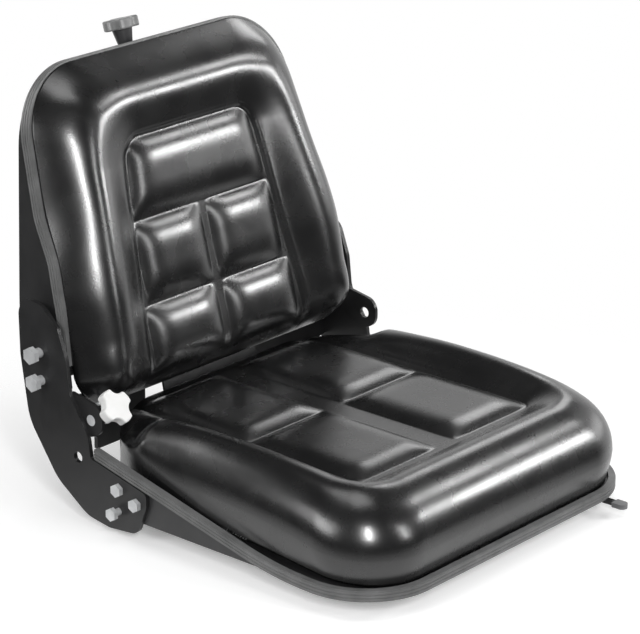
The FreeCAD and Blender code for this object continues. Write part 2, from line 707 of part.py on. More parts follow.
def cushion_radii(inset):
    rear = CUSHION_REAR_R - inset
    front = CUSHION_FRONT_R - inset
    return [rear, front, front, rear]


def tapered(low_points, high_points, radii, low, high, high_radii=None):
    """Solid lofted between two flat outlines with rounded corners."""
    bottom = flat(low_points, radii, "xy").OuterWire
    top = flat(high_points, high_radii or radii, "xy").OuterWire
    bottom.translate(V(0, 0, low))
    top.translate(V(0, 0, high))
    return Part.makeLoft([bottom, top], True, True)


def pad(x0, x1, y0, y1, low, high):
    """Raised pad with sloping sides and rounded corners."""
    lean = PAD_LEAN
    base = [(x0, y0), (x1, y0), (x1, y1), (x0, y1)]
    crown = [(x0 + lean, y0 + lean), (x1 - lean, y0 + lean), (x1 - lean, y1 - lean), (x0 + lean, y1 - lean)]
    return tapered(base, crown, [PAD_CORNER_R] * 4, low, high)


def top_edges(solid, low):
    """Edges above a height where a side wall meets a top face."""
    edges = []
    for edge in solid.Edges:
        faces = solid.ancestorsOfType(edge, Part.Face)
        tilts = sorted(abs(face.normalAt(0, 0).z) for face in faces)
        if edge.BoundBox.ZMin > low and tilts[0] < 0.8 and tilts[1] > 0.85:
            edges.append(edge)
    return edges


def seat_recess():
    """Recess of the seat panel, open to the rear, with sloping sides."""
    top = SEAT_Z + max(z for y, z in CUSHION_TOP) + 1
    lean = PANEL_SLOPE
    rear = CUSHION_REAR + 40
    base = [(-PANEL_HALF, PANEL_FRONT), (PANEL_HALF, PANEL_FRONT), (PANEL_HALF, rear), (-PANEL_HALF, rear)]
    crown = [(-PANEL_HALF - lean, PANEL_FRONT - lean), (PANEL_HALF + lean, PANEL_FRONT - lean),
             (PANEL_HALF + lean, rear), (-PANEL_HALF - lean, rear)]
    base = [(x, y + SEAT_Y) for x, y in base]
    crown = [(x, y + SEAT_Y) for x, y in crown]
    return tapered(base, crown, [30, 30, 0, 0], SEAT_Z + PANEL_Z, top)


def plate_pocket():
    """Space under the seat cushion for the seat plate, its hinges and the hanger."""
    half = SEAT_PLATE_THICKNESS / 2
    reach = SEAT_PLATE_HALF + 1
    y0 = HINGE_Y - 13
    y1 = CUSHION_REAR + 1
    section = sloped_section(y0, y1, -SEAT_Z, half)
    pocket = side_bar(section, all_round(section), -reach, reach)
    inset = CUSHION_HALF - reach
    plan = [(-reach, y0 + SEAT_Y), (reach, y0 + SEAT_Y), (reach, y1 + SEAT_Y), (-reach, y1 + SEAT_Y)]
    radii = [CUSHION_FRONT_R - inset] * 2 + [CUSHION_REAR_R - inset] * 2
    pocket = pocket.common(slab(plan, radii, 0, SEAT_Z + BACK_Z))
    inner, outer = hinge_spans()
    relief = Part.makeBox(outer - inner + 14, 26, 30, seat_point(inner - 7, y0, HINGE_Z - 20))
    for side in both_sides([relief]):
        pocket = pocket.fuse(side)
    notch = seat_point(-HANGER_HALF - 1, SEAT_PLATE_REAR, slope_line(SEAT_PLATE_REAR, -20))
    return pocket.fuse(Part.makeBox(2 * HANGER_HALF + 2, CUSHION_REAR - SEAT_PLATE_REAR + 1, 24, notch))


def seat_cushion():
    lap = -SEAT_PLATE_THICKNESS / 2 - CUSHION_LAP
    bend = HINGE_Y + (CUSHION_FRONT_LOW - HINGE_Z - lap) / SEAT_SLOPE
    section = [(CUSHION_FRONT, CUSHION_FRONT_LOW)] + CUSHION_TOP
    section += [(CUSHION_END, slope_line(CUSHION_END, lap)), (bend, CUSHION_FRONT_LOW)]
    body = slab(cushion_outline(0), cushion_radii(0), SEAT_Z, SEAT_Z + BACK_Z)
    radii = [0, 0, 150, 400, 300, 200, 0, 0, 0]
    body = body.common(side_bar(seat_side(section), radii, -CUSHION_HALF, CUSHION_HALF)).removeSplitter()
    body = body.makeFillet(CUSHION_EDGE_R, top_edges(body, SEAT_Z + PANEL_Z / 2))
    body = body.cut(seat_recess())
    for y0, y1 in SEAT_PAD_ROWS:
        raised = pad(SEAT_GROOVE / 2, PANEL_HALF - PAD_MARGIN, y0 + SEAT_Y, y1 + SEAT_Y,
                     SEAT_Z + PANEL_Z - 1, SEAT_Z + PANEL_Z + PAD_RISE)
        for side in both_sides([raised]):
            body = body.fuse(side)
    rear = SEAT_Y + CUSHION_REAR
    behind = box(-CUSHION_HALF, CUSHION_HALF, rear, SEAT_Y + CUSHION_END, 0, SEAT_Z + BACK_Z)
    return body.cut(plate_pocket()).cut(behind).removeSplitter()


# Backrest, drawn in its own axes: X across, Y up the backrest, Z forward

def back_outline(inset, bottom):
    half = BACK_HALF_WIDTH - inset
    top_half = BACK_TOP_HALF_WIDTH - inset
    top = BACK_TOP - inset
    return [(-half, bottom), (-half, BACK_TAPER_V), (-top_half, top), (top_half, top),
            (half, BACK_TAPER_V), (half, bottom)]


def back_radii(inset):
    corner = BACK_CORNER_R - inset
    return [0, 300, corner, corner, 300, 0]


def rim_line(bottom):
    """Side view line of the backrest's rim, from a low end to the top."""
    low_w = -JOG_LOW_SLOPE * (JOG_LOW - bottom)
    return [(bottom, low_w), (JOG_LOW, 0.0), (JOG_START, 0.0), (JOG_END, -JOG), (BACK_TOP, -JOG)]


def back_band(low, high, bottom):
    """Side view band along the backrest's rim, from low to high about the trim's middle."""
    line = rim_line(bottom)
    under = [(v, w + low) for v, w in line]
    over = [(v, w + high) for v, w in reversed(line)]
    radii = [0, 80, 80, 80, 0, 0, 80, 80, 80, 0]
    return side_bar(under + over, radii, -BACK_HALF_WIDTH, BACK_HALF_WIDTH)


def shell_half(v):
    """Half width of the shell's outside at a height on the backrest."""
    rise = max(0.0, v - BACK_TAPER_V) / (BACK_TOP - BACK_TAPER_V)
    return SHELL_X - BACK_TAPER * rise


def bevel_tool(inset):
    """Block behind the plane that bevels the shell's left rear edge, moved in by inset."""
    (low_v, low_w), (high_v, high_w) = SHELL_BEVEL
    low = V(-shell_half(low_v), low_v, low_w)
    high = V(-shell_half(high_v), high_v, high_w)
    deep = V(high.x + SHELL_BEVEL_WIDTH, high_v, SHELL_REAR[3][1])
    normal = (deep - high).cross(low - high).normalize()
    if normal.z > 0:
        normal = normal * -1
    size = 3 * BACK_TOP
    tool = Part.makeBox(size, size, size, V(-size / 2, -size / 2, 0))
    tool.Placement = FreeCAD.Placement(high - normal * inset, FreeCAD.Rotation(Z_AXIS, normal))
    return tool


def back_block(inset, bottom):
    """The back shell's outside, drawn in by inset."""
    edge = TRIM_OUTSIDE + inset
    block = slab(back_outline(edge, bottom), back_radii(edge), -120, TRIM_COVER + 60 * inset)
    rear = [(v, w + inset) for v, w in SHELL_REAR]
    rear[0] = (bottom, rear[0][1])
    rim = TRIM_COVER + 30 * inset
    front = [(v, w + rim) for v, w in reversed(rim_line(bottom))]
    radii = [0, 0, 300, 0, 0, 80, 80, 80, 0]
    block = block.common(side_bar(rear + front, radii, -BACK_HALF_WIDTH, BACK_HALF_WIDTH))
    tool = bevel_tool(inset)
    for side in both_sides([tool]):
        block = block.cut(side)
    return block


def back_bolt_places():
    return [PIVOT, SLOT_BOLT]


def back_shell():
    shell = back_block(0, BACK_BOTTOM).cut(back_block(SHELL_SHEET, BACK_BOTTOM - 1))
    shell = shell.cut(rod(V(0, BACK_TOP - 20, SPINDLE_W), V(0, 1, 0), SPINDLE_R + BUSH_WALL, 30))
    shell = on_back(shell)
    for y, z in back_bolt_places():
        through = rod(seat_point(-SHELL_X - 1, y, z), X_AXIS, UPPER_BOLT_R + HOLE_PLAY, 2 * SHELL_X + 2)
        shell = shell.cut(through)
    return shell


def back_edge_trim():
    low = -JOG - TRIM_HEIGHT
    high = TRIM_HEIGHT
    inner = TRIM_OUTSIDE + SHELL_SHEET + TRIM_INSIDE
    hollow = slab(back_outline(inner, -1), back_radii(inner), low, high)
    body = slab(back_outline(TRIM_RIB, 0), back_radii(TRIM_RIB), low, high)
    ribs = slab(back_outline(0, 0), back_radii(0), low, high)
    trim = body.cut(hollow).common(back_band(-TRIM_HEIGHT / 2, TRIM_HEIGHT / 2, 0))
    for step in (-1, 0, 1):
        middle = step * TRIM_RIB_PITCH
        rib = back_band(middle - TRIM_RIB_WIDTH / 2, middle + TRIM_RIB_WIDTH / 2, 0)
        trim = trim.fuse(ribs.cut(hollow).common(rib))
    sheet = slab(back_outline(TRIM_OUTSIDE, 0), back_radii(TRIM_OUTSIDE), low, high)
    sheet_in = TRIM_OUTSIDE + SHELL_SHEET
    sheet = sheet.cut(slab(back_outline(sheet_in, -1), back_radii(sheet_in), low, high))
    return on_back(trim.cut(sheet.common(back_band(-TRIM_HEIGHT, TRIM_COVER, 0))).removeSplitter())


def back_board():
    inset = BACK_CUSHION_GAP + 12
    board = slab(back_outline(inset, -15), back_radii(inset), BOARD_W - BOARD_THICKNESS, BOARD_W)
    return on_back(board)


def board_posts():
    cavity = back_block(SHELL_SHEET, BACK_BOTTOM)
    posts = []
    for x, v in POST_PLACES:
        post = rod(V(x, v, -100), Z_AXIS, POST_R, 100 + BOARD_W - BOARD_THICKNESS)
        posts.append(post.common(cavity))
    return group([on_back(post) for post in both_sides(posts)])


def back_cushion():
    inset = BACK_CUSHION_GAP
    lean = BACK_CUSHION_LEAN
    low_r = BACK_CUSHION_LOW_R
    corner = BACK_CORNER_R - inset
    outline = back_outline(inset, BACK_CUSHION_BOTTOM)
    crest = back_outline(inset + lean, BACK_CUSHION_BOTTOM + lean)
    radii = [low_r, 300, corner, corner, 300, low_r]
    crest_radii = [radius - lean for radius in radii]
    body = tapered(outline, crest, radii, 0, BACK_CUSHION_RISE, crest_radii)
    body = body.fuse(slab(outline, radii, BOARD_W, 0))
    top = BACK_TOP - inset
    line = [(BACK_CUSHION_BOTTOM, BACK_CREST_LOW)] + BACK_CREST + [(top, BACK_CREST_TOP)]
    section = [(BACK_CUSHION_BOTTOM, BOARD_W)] + line + [(top, BOARD_W)]
    side = side_bar(section, [0, 0, 200, 200, 0, 0], -BACK_HALF_WIDTH, BACK_HALF_WIDTH)
    body = body.common(side).removeSplitter()
    body = body.makeFillet(BACK_CUSHION_EDGE_R, top_edges(body, BACK_CREST_TOP / 2))
    body = body.cut(back_recess())
    half = BACK_TOP_HALF_WIDTH - BACK_BOLSTER_TOP - PAD_MARGIN
    body = body.fuse(back_pad(-half, half, *BACK_TOP_PAD))
    for low, high, reach in BACK_PAD_ROWS:
        for side in both_sides([back_pad(BACK_GROOVE / 2, reach, low, high)]):
            body = body.fuse(side)
    return on_back(body.removeSplitter())


def back_recess():
    """Recess of the back panel, open at the bottom, narrower at the top, with sloping sides."""
    low = BACK_HALF_WIDTH - BACK_BOLSTER_LOW
    high = BACK_TOP_HALF_WIDTH - BACK_BOLSTER_TOP
    foot = BACK_CUSHION_BOTTOM - 15
    grow = BACK_PANEL_SLOPE
    panel = [(-low, foot), (-high, BACK_PANEL_TOP), (high, BACK_PANEL_TOP), (low, foot)]
    top = BACK_PANEL_TOP + grow
    crown = [(-low - grow, foot), (-high - grow, top), (high + grow, top), (low + grow, foot)]
    return tapered(panel, crown, [0, 24, 24, 0], BACK_PANEL_W, BACK_CUSHION_RISE + 2)


def back_pad(x0, x1, v0, v1):
    return pad(x0, x1, v0, v1, BACK_PANEL_W - 1, BACK_PANEL_W + PAD_RISE)


# Backrest pivots and tilt screw

def upper_bolt(place):
    seat = seat_point(PLATE_OUT_X, *place)
    grip = PLATE_THICKNESS + SHELL_GAP + SHELL_SHEET + 9
    bolt = rod(seat - V(grip, 0, 0), X_AXIS, UPPER_BOLT_R, grip)
    bolt = bolt.fuse(rod(seat, X_AXIS, UPPER_COLLAR_R, UPPER_STAND_OFF))
    head = hexagon(seat + V(UPPER_STAND_OFF, 0, 0), X_AXIS, UPPER_HEAD_AF, UPPER_HEAD_HEIGHT)
    return bolt.fuse(head)


def weld_nuts():
    nuts = []
    for place in back_bolt_places():
        start = seat_point(SHELL_X - SHELL_SHEET - 8, *place)
        nut = hexagon(start, X_AXIS, UPPER_HEAD_AF, 8)
        nuts.append(nut.cut(rod(start, X_AXIS, UPPER_BOLT_R + RUN_FIT, 8)))
    return group(both_sides(nuts))


def plate_spacers():
    spacers = []
    for place in back_bolt_places():
        beside_arm = (-1, SHELL_X + ARM_THICKNESS, SHELL_GAP - ARM_THICKNESS)
        for side, start, width in ((1, SHELL_X, SHELL_GAP), beside_arm):
            base = seat_point(side * start, *place)
            ring = rod(base, X_AXIS * side, SPACER_R, width)
            spacers.append(ring.cut(rod(base, X_AXIS * side, UPPER_BOLT_R + RUN_FIT, width)))
    return group(spacers)


def screw_point(along):
    """Point on the tilt screw's axis, measured from the swivel towards the knob."""
    return seat_point(SCREW_X, *EAR_HOLE) + SCREW_DIR * along


def nut_place():
    """Foot of the pivot on the tilt screw's axis: how far behind the swivel the nut sits."""
    to_pivot = seat_point(SCREW_X, *PIVOT) - screw_point(0)
    return to_pivot.dot(SCREW_DIR)


def tilt_arm():
    nut = screw_point(nut_place())
    half = ARM_WIDTH / 2
    places = [seat_point(0, *SLOT_BOLT), seat_point(0, *PIVOT), V(0, nut.y, nut.z)]
    arm = None
    for first, last in zip(places, places[1:]):
        along = (last - first).normalize()
        across = V(0, -along.z, along.y) * half
        points = [first + across, last + across, last - across, first - across]
        link = side_bar([(p.y, p.z) for p in points], all_round(points), 0, ARM_THICKNESS)
        arm = link if arm is None else arm.fuse(link)
    for place in places:
        arm = arm.fuse(rod(place, X_AXIS, half, ARM_THICKNESS))
    for place in places[:2]:
        arm = arm.cut(rod(place, X_AXIS, UPPER_BOLT_R + RUN_FIT, ARM_THICKNESS))
    arm = arm.removeSplitter()
    arm.translate(V(-SHELL_X - ARM_THICKNESS, 0, 0))
    return arm


def tilt_nut():
    middle = screw_point(nut_place())
    start = V(-SHELL_X, middle.y, middle.z)
    nut = rod(start, X_AXIS, NUT_R, 2 * (SHELL_X + SCREW_X))
    return nut.cut(rod(middle - SCREW_DIR * 20, SCREW_DIR, SCREW_R + NUT_PLAY, 40))


def tilt_swivel():
    middle = screw_point(0)
    start = V(-WALL_X, middle.y, middle.z)
    swivel = rod(start, X_AXIS, EAR_HOLE_R - RUN_FIT, EAR_THICKNESS)
    head = V(-WALL_X + EAR_THICKNESS, middle.y, middle.z)
    swivel = swivel.fuse(rod(head, X_AXIS, SWIVEL_R, 2 * (WALL_X - EAR_THICKNESS + SCREW_X)))
    return swivel.cut(rod(middle - SCREW_DIR * 30, SCREW_DIR, SCREW_R + RUN_FIT, 60))


def tilt_screw():
    end = nut_place() - NUT_R - 5
    screw = rod(screw_point(end), SCREW_DIR, SCREW_R, SWIVEL_R + PART_GAP - end)
    collar = rod(screw_point(-SWIVEL_R - PART_GAP - 3), SCREW_DIR, SCREW_R + 2, 3)
    return screw.fuse(collar).removeSplitter()


def knob_head(start, direction, phase):
    """Star head: a disc with scallops between its lobes and rounded edges, turned by phase degrees."""
    disc = Part.makeCylinder(KNOB_R, KNOB_HEIGHT)
    for i in range(KNOB_LOBES):
        turn = math.radians(360 / KNOB_LOBES * (i + 0.5) + phase)
        reach = KNOB_R + 0.45 * KNOB_SCALLOP_R
        middle = V(reach * math.cos(turn), reach * math.sin(turn), 0)
        disc = disc.cut(Part.makeCylinder(KNOB_SCALLOP_R, KNOB_HEIGHT, middle))
    upright = [edge for edge in disc.Edges if abs(edge.tangentAt(edge.FirstParameter).z) > 0.99]
    disc = disc.makeFillet(3.0, upright)
    rims = [edge for edge in disc.Edges if abs(edge.tangentAt(edge.FirstParameter).z) < 0.01]
    disc = disc.makeFillet(2.0, rims)
    disc.Placement = FreeCAD.Placement(start, FreeCAD.Rotation(Z_AXIS, direction))
    return disc


def weight_point(v):
    return BACK_PLACE.multVec(V(0, v, SPINDLE_W))


def back_up():
    return BACK_PLACE.Rotation.multVec(V(0, 1, 0))


def spindle_bush():
    top = BACK_TOP - TRIM_OUTSIDE
    up = V(0, 1, 0)
    foot = V(0, top - BUSH_DEPTH, SPINDLE_W)
    bush = rod(V(0, top, SPINDLE_W), up, SPINDLE_R + 2 * BUSH_WALL, BUSH_FLANGE)
    bush = bush.fuse(rod(foot, up, SPINDLE_R + BUSH_WALL - RUN_FIT, BUSH_DEPTH))
    return on_back(bush.cut(rod(foot, up, SPINDLE_R + RUN_FIT, BUSH_DEPTH + BUSH_FLANGE)))


def hub_base_v():
    return BACK_TOP - TRIM_OUTSIDE + BUSH_FLANGE + PART_GAP


def weight_spindle():
    foot = YOKE_V - 14
    spindle = rod(weight_point(foot), back_up(), SPINDLE_R, hub_base_v() - foot)
    collar_top = BACK_TOP - TRIM_OUTSIDE - BUSH_DEPTH - PART_GAP
    return spindle.fuse(rod(weight_point(collar_top - 4), back_up(), SPINDLE_R + 2, 4)).removeSplitter()


def spring_yoke():
    low = YOKE_V - YOKE_HEIGHT / 2
    reach = YOKE_DEPTH / 2
    bar = box(-YOKE_HALF, YOKE_HALF, low, low + YOKE_HEIGHT, SPINDLE_W - reach, SPINDLE_W + reach)
    bar = bar.cut(rod(V(0, low - 1, SPINDLE_W), V(0, 1, 0), SPINDLE_R + RUN_FIT, YOKE_HEIGHT + 2))
    return on_back(bar)


def coil(radius, wire_radius, turns, length):
    """Round wire wound about Z, from the origin up."""
    helix = Part.makeHelix(length / turns, length, radius)
    ring = Part.Wire(Part.makeCircle(wire_radius, V(radius, 0, 0), V(0, 1, 0)))
    return Part.Wire(helix.Edges).makePipeShell([ring], True, True)


def lift_springs():
    low_y, low_z = HANGER_PATH[-1]
    end_room = SPRING_WIRE_R + PART_GAP
    foot = seat_point(SPRING_X, low_y, low_z)
    head = BACK_PLACE.multVec(V(SPRING_X, YOKE_V - YOKE_HEIGHT / 2, SPINDLE_W - 1.5))
    along = (head - foot).normalize()
    foot = foot + along * (end_room + 1)
    spring = coil(SPRING_R, SPRING_WIRE_R, SPRING_TURNS, (head - foot).Length - end_room)
    spring.Placement = FreeCAD.Placement(foot, FreeCAD.Rotation(Z_AXIS, along))
    return group(both_sides([spring]))


def lever_spring():
    low = LEVER_Z + LEVER_THICKNESS + LEVER_SPRING_WIRE_R + PART_GAP
    high = SEAT_Z - LEVER_SPRING_WIRE_R - PART_GAP
    spring = coil(LEVER_SPRING_R, LEVER_SPRING_WIRE_R, LEVER_SPRING_TURNS, high - low)
    spring.translate(V(LEVER_X, LEVER_PIVOT_Y, low))
    return spring


def build():
    pivot_bolts = group(both_sides([upper_bolt(PIVOT)]))
    slot_bolts = group(both_sides([upper_bolt(SLOT_BOLT)]))
    tilt_hub_start = screw_point(SWIVEL_R + PART_GAP)
    tilt_head_start = screw_point(SWIVEL_R + PART_GAP + TILT_HUB_HEIGHT)
    hub_start = weight_point(hub_base_v())
    weight_hub = Part.makeCone(HUB_BASE_R, HUB_TOP_R, WEIGHT_HUB_HEIGHT, hub_start, back_up())
    weight_head_start = weight_point(hub_base_v() + WEIGHT_HUB_HEIGHT)
    return {
        "left_lower_rail": mirrored(lower_rail(False)),
        "right_lower_rail": lower_rail(True),
        "left_upper_rail": mirrored(upper_rail()),
        "right_upper_rail": upper_rail(),
        "slide_glides": slide_glides(),
        "rail_bolts": rail_bolts(),
        "release_lever": release_lever(),
        "lever_grip": lever_grip(),
        "lever_pivot_pin": lever_pivot_pin(),
        "lever_spring": lever_spring(),
        "base_pan": base_pan(),
        "base_edge_trim": base_edge_trim(),
        "left_side_plate": mirrored(side_plate()),
        "right_side_plate": side_plate(),
        "left_backing_plate": mirrored(backing_plate()),
        "right_backing_plate": backing_plate(),
        "lower_bolts": lower_bolts(),
        "left_ear_bracket": mirrored(ear_bracket()),
        "right_ear_bracket": ear_bracket(),
        "ear_pin": ear_pin(),
        "rear_cross_member": rear_cross_member(),
        "hinge_brackets": hinge_brackets(),
        "hinge_pins": hinge_pins(),
        "bump_stops": bump_stops(),
        "seat_plate": seat_plate(),
        "spring_hanger": spring_hanger(),
        "seat_cushion": seat_cushion(),
        "back_shell": back_shell(),
        "back_edge_trim": back_edge_trim(),
        "back_board": back_board(),
        "board_posts": board_posts(),
        "back_cushion": back_cushion(),
        "pivot_bolts": pivot_bolts,
        "slot_bolts": slot_bolts,
        "weld_nuts": weld_nuts(),
        "plate_spacers": plate_spacers(),
        "tilt_arm": tilt_arm(),
        "tilt_nut": tilt_nut(),
        "tilt_swivel": tilt_swivel(),
        "tilt_screw": tilt_screw(),
        "tilt_knob_hub": rod(tilt_hub_start, SCREW_DIR, TILT_HUB_R, TILT_HUB_HEIGHT),
        "tilt_knob_head": knob_head(tilt_head_start, SCREW_DIR, TILT_KNOB_PHASE),
        "spindle_bush": spindle_bush(),
        "weight_spindle": weight_spindle(),
        "weight_knob_hub": weight_hub,
        "weight_knob_head": knob_head(weight_head_start, back_up(), WEIGHT_KNOB_PHASE),
        "spring_yoke": spring_yoke(),
        "lift_springs": lift_springs(),
    }


os.makedirs("parts", exist_ok=True)
for name, shape in build().items():
    shape.exportStep(f"parts/{name}.step")
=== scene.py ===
import json
import math

import bpy
import numpy as np
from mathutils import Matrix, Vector


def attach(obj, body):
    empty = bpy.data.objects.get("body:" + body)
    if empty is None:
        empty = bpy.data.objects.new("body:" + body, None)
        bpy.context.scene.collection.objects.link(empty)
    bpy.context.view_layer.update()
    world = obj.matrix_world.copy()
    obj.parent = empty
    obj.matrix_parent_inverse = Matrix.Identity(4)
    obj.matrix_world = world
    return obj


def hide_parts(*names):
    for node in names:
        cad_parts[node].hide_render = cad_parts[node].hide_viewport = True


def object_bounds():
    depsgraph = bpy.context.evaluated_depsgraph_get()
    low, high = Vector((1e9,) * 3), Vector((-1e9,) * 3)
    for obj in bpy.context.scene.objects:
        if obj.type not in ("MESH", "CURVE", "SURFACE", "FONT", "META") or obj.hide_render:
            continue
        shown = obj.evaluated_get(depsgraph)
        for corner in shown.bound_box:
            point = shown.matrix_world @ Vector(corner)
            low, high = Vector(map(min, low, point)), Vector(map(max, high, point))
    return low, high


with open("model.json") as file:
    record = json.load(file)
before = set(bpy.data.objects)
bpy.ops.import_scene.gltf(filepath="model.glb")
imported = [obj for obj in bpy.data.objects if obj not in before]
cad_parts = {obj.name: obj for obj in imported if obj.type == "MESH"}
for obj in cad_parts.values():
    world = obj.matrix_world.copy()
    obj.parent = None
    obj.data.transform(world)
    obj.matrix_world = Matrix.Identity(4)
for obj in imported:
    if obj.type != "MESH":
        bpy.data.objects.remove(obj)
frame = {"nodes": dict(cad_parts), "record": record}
cad_box = [list(corner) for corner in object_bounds()]

# Shapes are in millimetres, in the axes that the part's source uses, and placed in metres
MM = 1000.0
SEAT_Y = -240.0
SEAT_Z = 24.0
BACK_ORIGIN = np.array([0.0, 192.0, 174.0])
RECLINE = math.radians(16.5)
ACROSS = np.array([1.0, 0.0, 0.0])
BACK_UP = np.array([0.0, math.sin(RECLINE), math.cos(RECLINE)])
BACK_FORWARD = np.array([0.0, -math.cos(RECLINE), math.sin(RECLINE)])

# How finely a cushion is divided
PER_SIDE = 220
ARC_POINTS = 41
EDGE_RINGS = 36
WALL_ROWS = 12
LEAST_R = 8.0

# Forms that both cushions share
PAD_RISE = 9.0
PAD_SHOULDER = 40.0
BEAD = 2.6
LIP = 4.0
LIP_SPAN = (-1.0, 5.0)
BOLSTER_FOOT = 1.4
BOLSTER_TOP = 2.4
# far past the cushions' ends, where a panel or the trim's inside runs on
OPEN_END = 900.0


def smooth(low, high, value):
    t = np.clip((value - low) / (high - low), 0.0, 1.0)
    return t * t * (3.0 - 2.0 * t)


def curve_through(points, value, passes=3, step=2.0, width=9):
    """A smooth line through (place, height) points, read at value."""
    places, heights = zip(*points)
    fine = np.arange(places[0], places[-1] + step, step)
    line = np.interp(fine, places, heights)
    span = 2 * width + 1
    for _ in range(passes):
        before = 2 * line[0] - line[width:0:-1]
        after = 2 * line[-1] - line[-2:-width - 2:-1]
        line = np.convolve(np.concatenate([before, line, after]), np.ones(span) / span, "valid")
    return np.interp(value, fine, line)


def rounded_gap(x, y, half_x, low_y, high_y, radius):
    """Signed distance outside a rounded rectangle that is centred on x 0 (negative inside)."""
    middle = (low_y + high_y) / 2
    dx = np.abs(x) - (half_x - radius)
    dy = np.abs(y - middle) - ((high_y - low_y) / 2 - radius)
    outside = np.hypot(np.maximum(dx, 0), np.maximum(dy, 0))
    return outside + np.minimum(np.maximum(dx, dy), 0) - radius


def shoulder(inside, width):
    """Rise from 0 to 1 that starts steeply and rounds over."""
    return 1 - (1 - np.clip(inside / width, 0, 1)) ** 3


def bolster(out, width):
    """Rise from 0 to 1: hollow at the foot, then rounding over to the top."""
    return 1 - (1 - np.clip(out / width, 0, 1) ** BOLSTER_FOOT) ** BOLSTER_TOP


def bead(out):
    """Height of the welded bead that runs round a panel."""
    return BEAD * np.exp(-(out / BEAD) ** 2)


def panelled_top(out, past_side, past_end, dome, hollow, widths):
    """Height of a cushion's top: a sunk panel with a lip and a bead, and bolsters that rise round it.

    widths are the bolster's width at the panel's end and what is added to it at the panel's sides.
    """
    lean = past_side / np.maximum(past_side + past_end, 1e-6)
    slope = bolster(out, widths[0] + widths[1] * lean)
    lip = LIP * smooth(*LIP_SPAN, out)
    return hollow + lip + bead(out) + np.maximum(dome - hollow - LIP, 0) * slope


def pillow(x, y, x0, x1, y0, y1):
    """Height of a raised pad that rounds off to all four sides."""
    across = shoulder(x - x0, PAD_SHOULDER) * shoulder(x1 - x, PAD_SHOULDER)
    return PAD_RISE * across * shoulder(y - y0, PAD_SHOULDER) * shoulder(y1 - y, PAD_SHOULDER)


def paired_pads(x, y, top, pads):
    """The top with each pad and its mirror image added."""
    for x0, x1, y0, y1 in pads:
        top = top + pillow(x, y, x0, x1, y0, y1)
        top = top + pillow(x, y, -x1, -x0, y0, y1)
    return top


def corner_frame(corners, i):
    """A corner, the unit directions to the corner before it and inwards, and half its angle."""
    before, here, after = (np.array(corners[(i + k) % len(corners)], float) for k in (-1, 0, 1))
    back = (before - here) / np.linalg.norm(before - here)
    on = (after - here) / np.linalg.norm(after - here)
    half = math.acos(np.clip(back @ on, -1, 1)) / 2
    return here, back, (back + on) / np.linalg.norm(back + on), half


def outline_arcs(corners, radii):
    """The rounded corners of a convex outline, each as points and inward normals."""
    arcs = []
    for i, radius in enumerate(radii):
        here, back, inwards, half = corner_frame(corners, i)
        set_back = radius / math.tan(half)
        centre = here + inwards * radius / math.sin(half)
        start = here + back * set_back - centre
        angles = math.atan2(start[1], start[0]) + np.linspace(0, math.pi - 2 * half, ARC_POINTS)
        outwards = np.stack([np.cos(angles), np.sin(angles)], 1)
        arcs.append((centre + radius * outwards, -outwards))
    return arcs


def inset_corners(corners, distance):
    """The outline's corners, moved in by a distance from both of their sides."""
    moved = []
    for i in range(len(corners)):
        here, _, inwards, half = corner_frame(corners, i)
        moved.append(here + inwards * distance / math.sin(half))
    return moved


def resample(points, normals):
    """PER_SIDE evenly spaced places along a line of points, with their unit normals."""
    steps = np.linalg.norm(np.diff(points, axis=0), axis=1)
    along = np.concatenate([[0], np.cumsum(steps)])
    places = np.linspace(0, along[-1], PER_SIDE + 1)[:-1]
    place = np.stack([np.interp(places, along, points[:, k]) for k in range(2)], 1)
    facing = np.stack([np.interp(places, along, normals[:, k]) for k in range(2)], 1)
    return place, facing / np.linalg.norm(facing, axis=1)[:, None]


def cushion_loop(corners, radii, splits):
    """The outline's loop and its normals, in four sides that meet at the middles of four arcs."""
    points = []
    normals = []
    marks = []
    for i, (arc, facing) in enumerate(outline_arcs(corners, radii)):
        if i in splits:
            marks.append(len(points) + ARC_POINTS // 2)
        points.extend(arc)
        normals.extend(facing)
    points = np.array(points)
    normals = np.array(normals)
    sides = []
    for first, last in zip(marks, marks[1:] + marks[:1]):
        span = (last - first) % len(points)
        index = [(first + j) % len(points) for j in range(span + 1)]
        sides.append(resample(points[index], normals[index]))
    return [np.concatenate(each) for each in zip(*sides)]


def filled_grid(loop):
    """Points of a square grid that fills a loop of four sides."""
    n = PER_SIDE
    # the loop starts at one corner and runs round: low, right, high, left
    low, right, high, left = (loop[np.arange(k * n, (k + 1) * n + 1) % len(loop)] for k in range(4))
    high = high[::-1]
    left = left[::-1]
    s = np.linspace(0, 1, n + 1)[:, None]
    rows = []
    for j, t in enumerate(s[:, 0]):
        across = (1 - s) * left[j] + s * right[j]
        along = (1 - t) * low + t * high
        bend = (1 - s) * (1 - t) * low[0] + s * (1 - t) * low[n]
        bend = bend + (1 - s) * t * high[0] + s * t * high[n]
        rows.append(across + along - bend)
    return np.concatenate(rows)


def link(name, data):
    thing = bpy.data.objects.new(name, data)
    bpy.context.scene.collection.objects.link(thing)
    return thing


